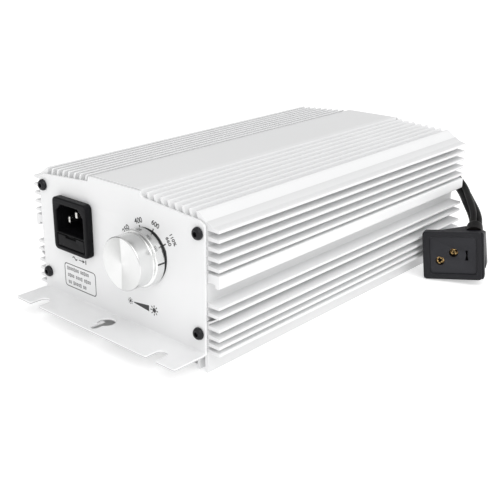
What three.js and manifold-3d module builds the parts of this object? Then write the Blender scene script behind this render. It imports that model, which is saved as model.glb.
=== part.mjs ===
// Dimmable electronic ballast for a grow lamp: a finned two-piece extruded case with folded end
// plates, a fused mains inlet, a stepped dimmer, the control gear inside and a short lamp lead.
// Millimetres. X runs across the case, Y along it (the controls face -Y), Z up from the floor.
import * as THREE from "three";
import { mergeVertices } from "three/addons/utils/BufferGeometryUtils.js";
import Module from "manifold-3d";

const wasm = await Module();
wasm.setup();

// ---- driving dimensions ----
const gap = 0.3; // clearance between pieces that touch
const caseLength = 248; // length of the two extrusions
const wallX = 69; // outer face of the side walls, and half the width of the end plates
const innerX = 65.8; // inner face of the side walls
const finTipX = 77.4; // tips of the side fins
const topZ = 92.2; // flat panel along the middle of the roof
const baseLowZ = 10.9; // underside of the base
const baseTopZ = 13.2; // top of the base
const splitZ = 30.3; // where the two extrusions meet
const sideFinZ = [75.15, 69.95, 64.65, 59.4, 38.7, 33.5]; // undersides of the upper side fins
const lowerFinZ = [26.1, 20.7, 16.2, 12.2]; // undersides of the lower side fins

const plateThickness = 1.5;
const plateLowZ = 10.6;
const flangeReach = 22.9; // how far the feet of the end plates stand out
const plateBack = caseLength / 2 + gap;
const plateFront = plateBack + plateThickness;
const screwX = 64.7;
const screwZ = [78.5, 23];

const inletX = -35.3;
const inletZ = 59.2;
const knobX = 24.2;
const knobZ = 56;
const glandX = -24;
const glandZ = 50;

const boardTopZ = 18.1;
const boardThickness = 1.6;
const standZ = boardTopZ + gap; // where components stand

// The lamp socket stands beside the rear of the case, turned and leaning a little to the left.
const socketCorner = new THREE.Vector3(83.97, 69.64, 0.1);
const socketTurn = THREE.MathUtils.degToRad(21);
const socketLean = THREE.MathUtils.degToRad(6.5);
const socketWidth = 37.3;
const socketHeight = 33;

const cordDiameter = 9.2;
const cordRoute = [
  [-24, 138.3, 50], [-24, 148, 50], [-19.7, 162, 50], [-8.5, 173, 49.7], [8, 176.6, 49.3],
  [24, 173.4, 49.3], [38.5, 164.6, 49.5], [51, 153.8, 49.6], [62.5, 143, 49.1],
  [69.8, 136.3, 48], [76.9, 130, 45.9], [86.3, 119, 43.4], [94.8, 109, 40.8],
  [99.9, 102.1, 38.7], [103.04, 96.71, 36.8],
];

// ---- solids and meshes ----
const ballast = new THREE.Group();

function toSolid(geometry) {
  const bare = geometry.clone();
  for (const name of ["normal", "uv"]) bare.deleteAttribute(name);
  const merged = mergeVertices(bare, 1e-4);
  const positions = merged.attributes.position.array;
  const faces = [];
  let volume = 0;
  const corner = (i) => new THREE.Vector3().fromArray(positions, 3 * i);
  for (let i = 0; i < merged.index.count; i += 3) {
    const [a, b, c] = [0, 1, 2].map((k) => merged.index.getX(i + k));
    if (a === b || b === c || c === a) continue;
    faces.push(a, b, c);
    volume += corner(a).dot(corner(b).cross(corner(c)));
  }
  if (volume < 0) faces.reverse();
  return new wasm.Manifold(new wasm.Mesh({
    numProp: 3,
    vertProperties: new Float32Array(positions),
    triVerts: new Uint32Array(faces),
  }));
}

function toGeometry(solid) {
  const mesh = solid.getMesh();
  const geometry = new THREE.BufferGeometry();
  geometry.setAttribute("position", new THREE.BufferAttribute(mesh.vertProperties, 3));
  geometry.setIndex(new THREE.BufferAttribute(mesh.triVerts, 1));
  geometry.computeVertexNormals();
  return geometry;
}

const join = (first, ...rest) => rest.reduce((sum, next) => sum.add(next), first);
const cut = (first, ...rest) => rest.reduce((left, next) => left.subtract(next), first);

function addPart(name, solid, material, parent = ballast) {
  const mesh = new THREE.Mesh(toGeometry(solid), material);
  mesh.name = name;
  parent.add(mesh);
}

const finish = (color, roughness, metalness) =>
  new THREE.MeshStandardMaterial({ color, roughness, metalness });
const whiteCoat = finish(0xf2f2f0, 0.45, 0.1);
const blackPlastic = finish(0x151515, 0.35, 0);
const blackOxide = finish(0x1b1b1d, 0.45, 0.7);
const brightSteel = finish(0xc4c4c4, 0.3, 0.9);
const spunAluminium = finish(0xd2d2d0, 0.25, 0.95);
const brassMetal = finish(0xb88a3c, 0.3, 0.9);
const greenBoard = finish(0x2f6b3a, 0.55, 0);
const amberSheet = finish(0xd9a441, 0.4, 0);
const ferrite = finish(0x3a3a3c, 0.7, 0.1);
const copperCoil = finish(0xb5703a, 0.4, 0.5);
const capacitorSleeve = finish(0x23262e, 0.4, 0);
const filmBlock = finish(0xc9a22c, 0.5, 0);
const fuseGlass = finish(0xcfd6d8, 0.15, 0.2);
const charcoalPlastic = finish(0x2b2b2e, 0.55, 0);
const blackRubber = finish(0x121212, 0.7, 0);
const wireColors = { brown: finish(0x6b3f22, 0.5, 0), blue: finish(0x2a4f9a, 0.5, 0),
  green: finish(0x3d8a3a, 0.5, 0), grey: finish(0x8a8a8c, 0.5, 0) };

// ---- shape helpers ----
const outline = (points) => new THREE.Shape(points.map(([x, y]) => new THREE.Vector2(x, y)));

function circlePoints(x, y, radius, sides) {
  return Array.from({ length: sides }, (_, i) => {
    const angle = (2 * Math.PI * i) / sides;
    return [x + radius * Math.cos(angle), y + radius * Math.sin(angle)];
  });
}

function roundedBox(x0, x1, y0, y1, radius, steps = 3) {
  const points = [];
  const centres = [[x1, y1], [x0, y1], [x0, y0], [x1, y0]];
  centres.forEach(([x, y], quarter) => {
    const cx = x + (x === x1 ? -radius : radius);
    const cy = y + (y === y1 ? -radius : radius);
    for (let i = 0; i <= steps; i++) {
      const angle = (Math.PI / 2) * (quarter + i / steps);
      points.push([cx + radius * Math.cos(angle), cy + radius * Math.sin(angle)]);
    }
  });
  return points;
}

// An outline of [x, z] points carried along Y.
function alongY(points, y0, y1, holes = []) {
  const shape = outline(points);
  shape.holes = holes.map(outline);
  const geometry = new THREE.ExtrudeGeometry(shape, { depth: y1 - y0, bevelEnabled: false });
  return toSolid(geometry.rotateX(Math.PI / 2).translate(0, y1, 0));
}

// An outline of [x, y] points carried up Z.
function upZ(points, z0, z1, holes = []) {
  const shape = outline(points);
  shape.holes = holes.map(outline);
  const geometry = new THREE.ExtrudeGeometry(shape, { depth: z1 - z0, bevelEnabled: false });
  return toSolid(geometry.translate(0, 0, z0));
}

function box(x0, x1, y0, y1, z0, z1) {
  const geometry = new THREE.BoxGeometry(x1 - x0, y1 - y0, z1 - z0);
  return toSolid(geometry.translate((x0 + x1) / 2, (y0 + y1) / 2, (z0 + z1) / 2));
}

// A turned piece on an axis along Y: profile points are [radius, y].
function turned(profile, x, z, sides = 24) {
  const points = profile.map(([radius, y]) => new THREE.Vector2(radius, y));
  return toSolid(new THREE.LatheGeometry(points, sides).translate(x, 0, z));
}

// A turned piece on an upright axis: profile points are [radius, z].
function turnedUp(profile, x, y, sides = 24) {
  const points = profile.map(([radius, z]) => new THREE.Vector2(radius, z));
  return toSolid(new THREE.LatheGeometry(points, sides).rotateX(Math.PI / 2).translate(x, y, 0));
}

function tube(route, diameter, sides, steps) {
  const curve = new THREE.CatmullRomCurve3(route.map((p) => new THREE.Vector3(...p)));
  const section = outline(circlePoints(0, 0, diameter / 2, sides));
  return toSolid(new THREE.ExtrudeGeometry(section, { steps, extrudePath: curve }));
}

// ---- the extruded case ----
const finReach = finTipX - wallX;
const mirrored = (points) => points.map(([x, z]) => [-x, z]).reverse();

function sideFin(lowZ) {
  const rootHeight = 2.3;
  const tipHeight = 1.8;
  const nose = 0.8;
  return [
    [wallX, lowZ + 0.2], [finTipX - nose, lowZ], [finTipX, lowZ + 0.5],
    [finTipX, lowZ + tipHeight - 0.5], [finTipX - nose, lowZ + tipHeight], [wallX, lowZ + rootHeight],
  ];
}

// The thick rail half way up the side, with a lip that hangs from its tip.
const sideRail = [
  [wallX, 52.4], [finTipX - 3.2, 52.6], [finTipX - 2.9, 51.1], [finTipX - 2.1, 50.4],
  [finTipX - 0.9, 50.4], [finTipX, 51.3], [finTipX, 56.8], [finTipX - 0.9, 57.6], [wallX, 57.4],
];

const shoulder = [
  [wallX, 80.6], [finTipX - 0.8, 80.3], [finTipX, 80.8], [finTipX - 0.7, 82], [73.1, 82.7],
  [68.7, 85.1], [64.2, 88.4], [62.8, 89.2],
];

const grooveCount = 8;
const groovePitch = 5.26;
const firstGrooveX = 22.74;
const grooveDepth = 7;
const grooveHalf = 2.1; // half the width of a groove at the roof's surface
const grooveLean = 0.29; // how far a groove leans outwards for each millimetre down
const panelEdgeX = 16.5; // where the roof starts to fall away to the side
const roofFall = 0.065;
const roofZ = (x) => topZ - roofFall * (x - panelEdgeX);

function roofGrooves() {
  const points = [];
  for (let i = grooveCount - 1; i >= 0; i--) {
    const x = firstGrooveX + i * groovePitch;
    const floorX = x + grooveLean * grooveDepth;
    const floorZ = roofZ(x) - grooveDepth;
    const lipZ = roofZ(x) - 0.5;
    points.push([x + grooveHalf, roofZ(x + grooveHalf)], [x + 1.95, lipZ], [floorX + 1.7, floorZ]);
    points.push([floorX - 1.7, floorZ], [x - 1.75, lipZ], [x - grooveHalf, roofZ(x - grooveHalf)]);
  }
  points.push([panelEdgeX, topZ]);
  return points;
}

const roofThickness = 2.6;
const innerRoofZ = (x) => roofZ(x) - grooveDepth - roofThickness;
const lipX = 67.6; // the upper wall's outer lip laps over the lower wall's tongue

function upperShell() {
  const [fin2, fin3, fin4, fin5, fin7, fin8] = sideFinZ.map(sideFin);
  const outside = [
    [lipX, splitZ + gap], [wallX, splitZ + gap], ...fin8, ...fin7, ...sideRail, ...fin5, ...fin4,
    ...fin3, ...fin2, ...shoulder, ...roofGrooves(),
  ];
  const inside = [
    [18, topZ - 3.2], [20.2, innerRoofZ(20.2)], [61.1, innerRoofZ(61.1)], [61.1, 74.9],
    [innerX, 74.9], [innerX, splitZ + 4.1], [lipX, splitZ + 4.1],
  ];
  const half = caseLength / 2;
  const holes = [-screwX, screwX].map((x) => circlePoints(x, screwZ[0], 2.05, 12));
  return alongY([...outside, ...mirrored(outside), ...mirrored(inside), ...inside], -half, half, holes);
}

function lowerShell() {
  const [fin9, fin10, fin11, fin12] = lowerFinZ.map(sideFin);
  const skirt = [
    [61.2, baseLowZ], [61.2, 0.8], [61.8, 0], [62.5, 0], [63, 0.6], [63, baseLowZ],
    [66.9, baseLowZ], [66.9, 0.5], [67.4, 0], [68.4, 0], [wallX, 0.6],
  ];
  const hook = [[wallX, 28.3], [75, 32.4], [75.1, 32.9], [74.6, 33.1], [69.6, splitZ]];
  const tongueX = lipX - gap;
  const outside = [
    ...skirt, ...fin12, ...fin11, ...fin10, ...fin9, ...hook, [tongueX, splitZ],
    [tongueX, splitZ + 3.8], [innerX, splitZ + 3.8],
  ];
  const inside = [
    [innerX, 26.7], [61.1, 26.7], [61.1, 18.6], [innerX, 18.6], [innerX, 16.2], [63.2, 16.2],
    [63.2, 15], [innerX, 15], [innerX - 1.4, baseTopZ],
  ];
  const right = [...outside, ...inside];
  const half = caseLength / 2;
  const holes = [-screwX, screwX].map((x) => circlePoints(x, screwZ[1], 2.05, 12));
  return alongY([...right, ...mirrored(right)], -half, half, holes);
}

// ---- the folded end plates ----
const slotX = 51;
const slotWidth = 7.5;
const slotDepth = 10.9;

function openSlot(x) {
  const radius = slotWidth / 2;
  const points = [[x - radius, -1], [x + radius, -1]];
  for (let i = 0; i <= 6; i++) {
    const angle = (Math.PI * i) / 6;
    points.push([x + radius * Math.cos(angle), slotDepth - radius + radius * Math.sin(angle)]);
  }
  return points;
}

// A round opening with a narrow tail towards the front edge, for hanging on a screw head.
function keyhole() {
  const radius = 5.2;
  const tail = 2.35;
  const centreY = 13.4;
  const points = [];
  for (let i = 0; i <= 4; i++) {
    const angle = Math.PI + (Math.PI * i) / 4;
    points.push([tail * Math.cos(angle), 4.6 + tail * Math.sin(angle)]);
  }
  const start = Math.asin(tail / radius) - Math.PI / 2;
  for (let i = 0; i <= 12; i++) {
    const angle = start + ((2 * Math.PI - 2 * Math.asin(tail / radius)) * i) / 12;
    points.push([radius * Math.cos(angle), centreY + radius * Math.sin(angle)]);
  }
  return points;
}

// Made for the front end, where the controls are; the rear one is turned half a turn about Z.
function endPlate(openings) {
  const right = [
    [wallX, plateLowZ + 2.5], [wallX, 82.6], [68.2, 83.7], [64.4, 85.3], [24.2, 88.3],
    [22.6, 88.6], [21.6, 91.7],
  ];
  const face = alongY([...right, ...mirrored(right)], -plateFront, -plateBack);
  const foldRadius = 2.5;
  const fold = [];
  for (let i = 0; i <= 4; i++) {
    const angle = (-Math.PI / 2) * (i / 4);
    fold.push([foldRadius * Math.cos(angle), foldRadius * Math.sin(angle)]);
  }
  const innerFold = foldRadius - plateThickness;
  for (let i = 4; i >= 0; i--) {
    const angle = (-Math.PI / 2) * (i / 4);
    fold.push([innerFold * Math.cos(angle), innerFold * Math.sin(angle)]);
  }
  const foldGeometry = new THREE.ExtrudeGeometry(outline(fold),
    { depth: 2 * wallX, bevelEnabled: false });
  const bend = toSolid(foldGeometry.rotateX(Math.PI / 2).rotateZ(Math.PI / 2)
    .translate(-wallX, -plateBack - foldRadius, plateLowZ + foldRadius));
  const front = -plateFront - flangeReach;
  const flangeOutline = roundedBox(-wallX, wallX, 0, flangeReach + plateThickness - foldRadius, 1.2, 2);
  const flange = toSolid(new THREE.ExtrudeGeometry(outline(flangeOutline),
    { depth: plateThickness, bevelEnabled: false }).translate(0, front, plateLowZ));
  const tools = [openSlot(-slotX), openSlot(slotX), keyhole()].map((points) =>
    toSolid(new THREE.ExtrudeGeometry(outline(points), { depth: 6, bevelEnabled: false })
      .translate(0, front, plateLowZ - 2)));
  const screwHoles = [];
  for (const x of [-screwX, screwX]) {
    for (const z of screwZ) screwHoles.push(circlePoints(x, z, 2.15, 12));
  }
  const drills = [...openings, ...screwHoles].map((points) =>
    alongY(points, -plateFront - 1, -plateBack + 1));
  return cut(join(face, bend, flange), ...tools, ...drills);
}

// ---- button-head screws of the end plates ----
function plateScrew(x, z) {
  const seat = -plateFront - gap;
  const profile = [
    [0, seat - 1.1], [1.25, seat - 1.1], [1.25, seat - 2.4], [2.1, seat - 2.4], [3.1, seat - 1.6],
    [3.5, seat - 0.5], [3.5, seat], [1.75, seat], [1.75, seat + 11.5], [1.3, seat + 12], [0, seat + 12],
  ];
  return turned(profile, x, z, 12);
}

function addEnds() {
  const inletHole = roundedBox(inletX - 13.8, inletX + 13.8, inletZ - 14.9, inletZ + 14.9, 0.4, 1);
  addPart("front_plate", endPlate([inletHole, circlePoints(knobX, knobZ, 4.9, 20)]), whiteCoat);
  const rear = new THREE.Group();
  rear.rotation.z = Math.PI;
  ballast.add(rear);
  addPart("rear_plate", endPlate([circlePoints(-glandX, glandZ, 6.4, 20)]), whiteCoat, rear);
  const sides = { left: -screwX, right: screwX };
  const heights = { upper: screwZ[0], lower: screwZ[1] };
  for (const [end, parent, flip] of [["front", ballast, 1], ["rear", rear, -1]]) {
    for (const [side, x] of Object.entries(sides)) {
      for (const [height, z] of Object.entries(heights)) {
        addPart(`${end}_screw_${height}_${side}`, plateScrew(flip * x, z), blackOxide, parent);
      }
    }
  }
}

// ---- mains inlet with its fuse drawer ----
const bezelFront = -plateFront - gap - 4.5;
const cavityLowZ = inletZ - 4.6;
const cavityTopZ = cavityLowZ + 17;
const cavityHalf = 12.2;
const cavityBack = bezelFront + 17;
const inletBack = cavityBack + 5;
const drawerLowZ = inletZ - 14.6;
const drawerTopZ = cavityLowZ - 1.4;
const drawerHalf = 12.1;
const pins = { line: [-7, -1.6], neutral: [7, -1.6], earth: [0, 2.4] };

function addInlet() {
  const halfWide = 15.7;
  const halfHigh = 16.3;
  const chamfer = 0.9;
  const rim = (inset, radius) => roundedBox(inletX - halfWide + inset, inletX + halfWide - inset,
    inletZ - halfHigh + inset, inletZ + halfHigh - inset, radius);
  const bezel = join(
    alongY(rim(0, 3.4), bezelFront + 1, -plateFront - gap),
    alongY(rim(chamfer, 2.6), bezelFront, bezelFront + 1.2),
  );
  const barrel = box(inletX - 13.5, inletX + 13.5, -plateFront - 1, inletBack, drawerLowZ,
    inletZ + 14.6);
  const bevel = 4.4;
  const cavity = alongY([
    [inletX - cavityHalf, cavityLowZ], [inletX + cavityHalf, cavityLowZ],
    [inletX + cavityHalf, cavityTopZ - bevel], [inletX + cavityHalf - bevel, cavityTopZ],
    [inletX - cavityHalf + bevel, cavityTopZ], [inletX - cavityHalf, cavityTopZ - bevel],
  ], bezelFront - 1, cavityBack);
  const pinMidZ = (cavityLowZ + cavityTopZ) / 2;
  const pinBoxes = Object.values(pins).map(([x, z]) =>
    box(inletX + x - 1 - gap, inletX + x + 1 + gap, cavityBack - 1, inletBack + 1,
      pinMidZ + z - 2 - gap, pinMidZ + z + 2 + gap));
  const drawerBay = box(inletX - drawerHalf - gap, inletX + drawerHalf + gap, bezelFront - 1,
    inletBack + 1, drawerLowZ + 1, drawerTopZ + gap);
  addPart("inlet_body", cut(join(bezel, barrel), cavity, drawerBay, ...pinBoxes), blackPlastic);
  const pinFront = bezelFront + 5;
  const pinBack = cavityBack + 13;
  for (const [name, [x, z]] of Object.entries(pins)) {
    const midX = inletX + x;
    const midZ = pinMidZ + z;
    const blade = upZ([
      [midX - 1, pinBack], [midX - 1, pinFront + 1], [midX - 0.5, pinFront],
      [midX + 0.5, pinFront], [midX + 1, pinFront + 1], [midX + 1, pinBack],
    ], midZ - 2, midZ + 2);
    addPart(`inlet_pin_${name}`, blade, brightSteel);
  }
}

const fuseRadius = 2.6;
const fuseZ = drawerLowZ + 1 + gap + 1.2 + gap + fuseRadius;
const fuseY = [bezelFront + 7.5, bezelFront + 15.5];

function addFuseDrawer() {
  const low = drawerLowZ + 1 + gap;
  const tray = box(inletX - drawerHalf, inletX + drawerHalf, bezelFront + 0.2, bezelFront + 19.6, low,
    drawerTopZ);
  const bays = fuseY.map((y) => box(inletX - 10.4, inletX + 10.4, y - fuseRadius - gap,
    y + fuseRadius + gap, low + 1.2, drawerTopZ + 1));
  const grip = box(inletX - 5, inletX + 5, bezelFront - 1, bezelFront + 1.4, drawerTopZ - 1.6,
    drawerTopZ + 1);
  addPart("fuse_drawer", cut(tray, ...bays, grip), blackPlastic);
  const length = 10;
  const profile = [
    [0, -length], [fuseRadius, -length], [fuseRadius, -length + 5], [2.35, -length + 5],
    [2.35, length - 5], [fuseRadius, length - 5], [fuseRadius, length], [0, length],
  ].map(([r, y]) => new THREE.Vector2(r, y));
  ["spare_fuse", "fuse"].forEach((name, i) => {
    const geometry = new THREE.LatheGeometry(profile, 12).rotateZ(Math.PI / 2);
    addPart(name, toSolid(geometry.translate(inletX, fuseY[i], fuseZ)), fuseGlass);
  });
}

// ---- dimmer: a stepped rotary switch and its turned knob ----
const knobFront = -plateFront - 17.3;
const knobBack = -plateFront - 0.6;

function addDimmer() {
  const knobProfile = [
    [0, knobFront + 3.2], [3.3, knobFront + 3.2], [3.3, knobBack - 6], [9, knobBack - 6], [9, knobBack],
    [16.1, knobBack], [16.3, knobBack - 0.4], [16.3, knobBack - 5.6], [15.9, knobBack - 6],
    [15, knobBack - 6.1], [14.2, knobBack - 6.5], [14.2, knobBack - 7.2], [15, knobBack - 7.5],
    [15, knobFront + 0.6], [14.4, knobFront], [0, knobFront + 0.4],
  ];
  const screwY = knobBack - 9.6;
  const radialHole = new THREE.CylinderGeometry(1.8, 1.8, 16, 12).rotateX(Math.PI / 2)
    .translate(knobX, screwY, knobZ - 10);
  const knob = cut(turned(knobProfile, knobX, knobZ, 40), toSolid(radialHole));
  addPart("dimmer_knob", knob, spunAluminium);
  const grubScrew = new THREE.CylinderGeometry(1.5, 1.5, 6, 8).rotateX(Math.PI / 2)
    .translate(knobX, screwY, knobZ - 6.4);
  addPart("knob_set_screw", toSolid(grubScrew), blackOxide);
  const shaftProfile = [[0, knobFront + 3.6], [2.6, knobFront + 3.6], [3, knobFront + 4],
    [3, -plateBack + 6], [0, -plateBack + 6]];
  addPart("switch_shaft", turned(shaftProfile, knobX, knobZ, 16), brightSteel);

  const bushingFront = -plateFront - 4.6;
  const switchProfile = [
    [3.3, bushingFront], [4.5, bushingFront], [4.5, -plateBack + gap], [12.5, -plateBack + gap],
    [13, -plateBack + 0.8], [13, -plateBack + 17], [12.4, -plateBack + 17.6], [0, -plateBack + 17.6],
    [0, -plateBack + 6.3], [3.3, -plateBack + 6.3], [3.3, bushingFront],
  ];
  addPart("rotary_switch", turned(switchProfile, knobX, knobZ, 20), blackPlastic);
  const washer = [[4.8, -plateFront - 0.8], [8, -plateFront - 0.8], [8, -plateFront - gap],
    [4.8, -plateFront - gap], [4.8, -plateFront - 0.8]];
  addPart("switch_washer", turned(washer, knobX, knobZ, 20), brightSteel);
  const nutHole = circlePoints(knobX, knobZ, 4.8, 20);
  addPart("switch_nut", alongY(circlePoints(knobX, knobZ, 7.5, 6), -plateFront - 3.3,
    -plateFront - 1.1, [nutHole]), brightSteel);
}

// ---- the control gear on its board ----
function inductor(name, x, y, size) {
  const width = 44 * size;
  const height = 38 * size;
  const depth = 16 * size;
  const leg = 6 * size;
  const yoke = 6.5 * size;
  const window = 9 * size;
  const windows = [-1, 1].map((side) => {
    const middle = x + side * (leg + window / 2);
    return box(middle - window / 2, middle + window / 2, y - depth, y + depth, standZ + yoke,
      standZ + height - yoke);
  });
  const frame = box(x - width / 2, x + width / 2, y - depth / 2, y + depth / 2, standZ, standZ + height);
  addPart(`${name}_core`, cut(frame, ...windows), ferrite);
  const reachX = leg + window - 0.6;
  const reachY = depth / 2 + window - 1;
  const coil = upZ(roundedBox(x - reachX, x + reachX, y - reachY, y + reachY, 4), standZ + yoke + 0.6,
    standZ + height - yoke - 0.6, [roundedBox(x - leg - 0.5, x + leg + 0.5, y - depth / 2 - 0.5,
      y + depth / 2 + 0.5, 0.4, 1).reverse()]);
  addPart(`${name}_coil`, coil, copperCoil);
}

// A flat power device standing on its legs against the heat spreader.
function powerDevice(y, width, height, legCount) {
  const body = box(56, 61.1, y - width / 2, y + width / 2, 34, 34 + height);
  const pitch = (0.7 * width) / (legCount - 1);
  const legs = Array.from({ length: legCount }, (_, i) => {
    const legY = y + (i - (legCount - 1) / 2) * pitch;
    return box(58, 59, legY - 0.6, legY + 0.6, standZ, 34.5);
  });
  return join(body, ...legs);
}

function addElectronics() {
  const half = 118;
  addPart("insulation_sheet", box(-62, 62, -half, half, baseTopZ + gap, baseTopZ + gap + 0.4),
    amberSheet);
  addPart("circuit_board", box(-65.4, 65.4, -half, half, boardTopZ - boardThickness, boardTopZ),
    greenBoard);
  const ring = [[6, -6], [13, -6], [13, 6], [6, 6], [6, -6]].map(([r, y]) => [r, y - 88]);
  addPart("common_mode_choke", turned(ring, -42, standZ + 13, 24), copperCoil);
  addPart("film_capacitor_1", box(-20, 6, -99, -87, standZ, standZ + 20), filmBlock);
  addPart("film_capacitor_2", box(12, 34, -98, -88, standZ, standZ + 16), filmBlock);
  addPart("film_capacitor_3", box(-8, 10, 64, 90, standZ, standZ + 24), filmBlock);
  addPart("mains_relay", box(38, 54, -104, -84, standZ, standZ + 16), blackPlastic);
  inductor("pfc_inductor", -34, -42, 1);
  inductor("lamp_inductor", -34, 32, 1.15);
  [-40, -10, 20].forEach((y, i) => {
    const can = [[0, standZ], [12.5, standZ], [12.5, standZ + 43.5], [12, standZ + 44], [0, standZ + 44]];
    addPart(`bulk_capacitor_${i + 1}`, turnedUp(can, 36, y, 20), capacitorSleeve);
  });
  addPart("heat_spreader", box(61.5, 65.4, -72, 104, 35, 70), spunAluminium);
  addPart("bridge_rectifier", powerDevice(-55, 26, 17, 4), blackPlastic);
  [-26, -2, 46, 70].forEach((y, i) => {
    addPart(`power_transistor_${i + 1}`, powerDevice(y, 16, 21, 3), blackPlastic);
  });
  const coil = [[0, standZ], [11, standZ], [11, standZ + 26], [0, standZ + 26]];
  addPart("igniter_coil", turnedUp(coil, 32, 74, 20), copperCoil);
  addPart("control_board", box(2, 52, -70, -68.4, standZ, standZ + 34), greenBoard);
}

function addWires() {
  const tabY = cavityBack + 13 + gap;
  const pinMidZ = (cavityLowZ + cavityTopZ) / 2;
  const start = ([x, z]) => [inletX + x, tabY, pinMidZ + z];
  const wires = {
    line_wire: [wireColors.brown, [start(pins.line), [-43, -90, 60], [-51, -79, 50], [-55.5, -76, 34],
      [-56, -75, standZ + 0.2]]],
    neutral_wire: [wireColors.blue, [start(pins.neutral), [-28, -90, 60], [-24, -78, 50],
      [-21, -74, 34], [-20, -73, standZ + 0.2]]],
    earth_wire: [wireColors.green, [start(pins.earth), [-36, -90, 66], [-46, -80, 66], [-56, -72, 56],
      [-58.5, -70, 38], [-59, -70, standZ + 0.2]]],
    output_wire_live: [wireColors.brown, [[glandX - 3, 114.5, glandZ], [-28, 108, 48], [-34, 103, 36],
      [-36, 101, standZ + 0.2]]],
    output_wire_return: [wireColors.blue, [[glandX + 3, 114.5, glandZ], [-20, 108, 48], [-15, 103, 36],
      [-14, 101, standZ + 0.2]]],
  };
  for (const [name, [material, route]] of Object.entries(wires)) {
    addPart(name, tube(route, 2.4, 8, 14), material);
  }
  const ribbon = new THREE.CatmullRomCurve3([[knobX, -106.1, 56], [knobX, -96, 57], [knobX, -82, 59],
    [knobX, -74, 56], [knobX, -72.4, 48]].map((p) => new THREE.Vector3(...p)));
  const strip = outline([[-5, -0.5], [5, -0.5], [5, 0.5], [-5, 0.5]]);
  addPart("switch_ribbon", toSolid(new THREE.ExtrudeGeometry(strip, { steps: 12, extrudePath: ribbon })),
    wireColors.grey);
}

// ---- lamp lead: gland, cord and socket ----
function addLead() {
  const glandProfile = [
    [0, 115], [5.4, 115], [6, 115.6], [6, plateFront + gap], [9.5, plateFront + gap],
    [9.5, plateFront + 2.6], [8.2, plateFront + 3.4], [6.6, 138], [0, 138],
  ];
  addPart("cord_gland", turned(glandProfile, glandX, glandZ, 20), blackPlastic);
  const nutHole = circlePoints(glandX, glandZ, 6.3, 20);
  addPart("gland_nut", alongY(circlePoints(glandX, glandZ, 9.5, 6), 118.5, plateBack - gap, [nutHole]),
    blackPlastic);
  addPart("output_cord", tube(cordRoute, cordDiameter, 10, 36), blackRubber);
  addSocket();
}

function addSocket() {
  const stand = new THREE.Group();
  stand.position.copy(socketCorner);
  stand.rotation.z = socketTurn;
  const leaning = new THREE.Group();
  leaning.rotation.y = -socketLean;
  stand.add(leaning);
  ballast.add(stand);

  const faceDepth = 6.5;
  const contacts = [[10.9, 12.7], [19.7, 18.5]];
  const recess = alongY(roundedBox(4.7, socketWidth - 3.1, 4.2, socketHeight - 3.5, 2), -1, 1);
  const holes = contacts.map(([x, z]) => alongY(circlePoints(x, z, 3, 14), -1, faceDepth + 1));
  const slot = box(27.2, 28.9, -1, faceDepth + 1, 13.4, 20.3);
  const front = alongY(roundedBox(0, socketWidth, 0, socketHeight, 1.8), 0, 2.6);
  const wider = alongY(roundedBox(0.3, socketWidth + 1.5, 0.2, socketHeight - 0.3, 1.8), 1.6, faceDepth);
  const face = join(front, wider);
  addPart("socket_face", cut(face, recess, ...holes, slot), charcoalPlastic, leaning);

  // The hood behind the face rises towards the corner where the cord comes in.
  const backStart = faceDepth + gap;
  const backEnd = 17.5;
  const hood = alongY([
    [4.5, 3.4], [37, 3.4], [39.3, 7], [38.5, 28.8], [36.6, 29.7], [32.2, 31.8], [28.4, 32.4],
    [25.8, 32.3], [18.7, 31], [8.9, 29.3], [4.5, 27.8],
  ], backStart, backEnd);
  const collarLength = 11;
  const collar = new THREE.CylinderGeometry(5, 5.8, collarLength, 16);
  const arrival = new THREE.Vector3(-0.055, 0.939, 0.333).normalize();
  collar.applyQuaternion(new THREE.Quaternion().setFromUnitVectors(new THREE.Vector3(0, 1, 0), arrival));
  const collarEnd = new THREE.Vector3(31.8, 12.8, 31.3).addScaledVector(arrival, 6 - gap);
  collar.translate(...collarEnd.addScaledVector(arrival, -collarLength / 2).toArray());
  const pocket = box(7, socketWidth - 6, backStart - 1, backEnd - 3, 8.5, socketHeight - 8.5);
  addPart("socket_back", cut(join(hood, toSolid(collar)), pocket), charcoalPlastic, leaning);
  contacts.forEach(([x, z], i) => {
    const sleeve = [[1.6, 2.2], [2.6, 2.2], [2.6, 13], [1.6, 13], [1.6, 2.2]];
    addPart(`socket_contact_${i + 1}`, turned(sleeve, x, z, 14), brassMetal, leaning);
  });
}

addPart("upper_shell", upperShell(), whiteCoat);
addPart("lower_shell", lowerShell(), whiteCoat);
addEnds();
addInlet();
addFuseDrawer();
addDimmer();
addElectronics();
addWires();
addLead();

export default ballast;
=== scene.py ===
"""Looks of the dimmable grow-lamp ballast: finned case, end plates, inlet, dimmer, lead and socket."""

import math

import bmesh
import bpy
from mathutils import Matrix, Vector
from mathutils.geometry import tessellate_polygon


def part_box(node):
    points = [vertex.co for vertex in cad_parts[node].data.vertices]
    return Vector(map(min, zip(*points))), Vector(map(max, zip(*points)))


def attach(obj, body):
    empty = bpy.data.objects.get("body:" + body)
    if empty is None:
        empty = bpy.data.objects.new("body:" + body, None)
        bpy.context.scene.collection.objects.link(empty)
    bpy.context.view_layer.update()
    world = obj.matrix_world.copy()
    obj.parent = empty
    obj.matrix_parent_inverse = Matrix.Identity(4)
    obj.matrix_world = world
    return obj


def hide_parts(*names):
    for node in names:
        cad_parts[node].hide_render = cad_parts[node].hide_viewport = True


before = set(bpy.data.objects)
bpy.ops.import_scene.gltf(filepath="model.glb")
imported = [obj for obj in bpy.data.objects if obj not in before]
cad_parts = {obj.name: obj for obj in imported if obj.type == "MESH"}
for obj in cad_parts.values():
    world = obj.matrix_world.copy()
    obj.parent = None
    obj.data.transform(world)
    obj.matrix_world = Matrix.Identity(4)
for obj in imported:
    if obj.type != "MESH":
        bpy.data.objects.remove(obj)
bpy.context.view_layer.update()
MM = 0.001
DEGREE = math.radians(1)


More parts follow.
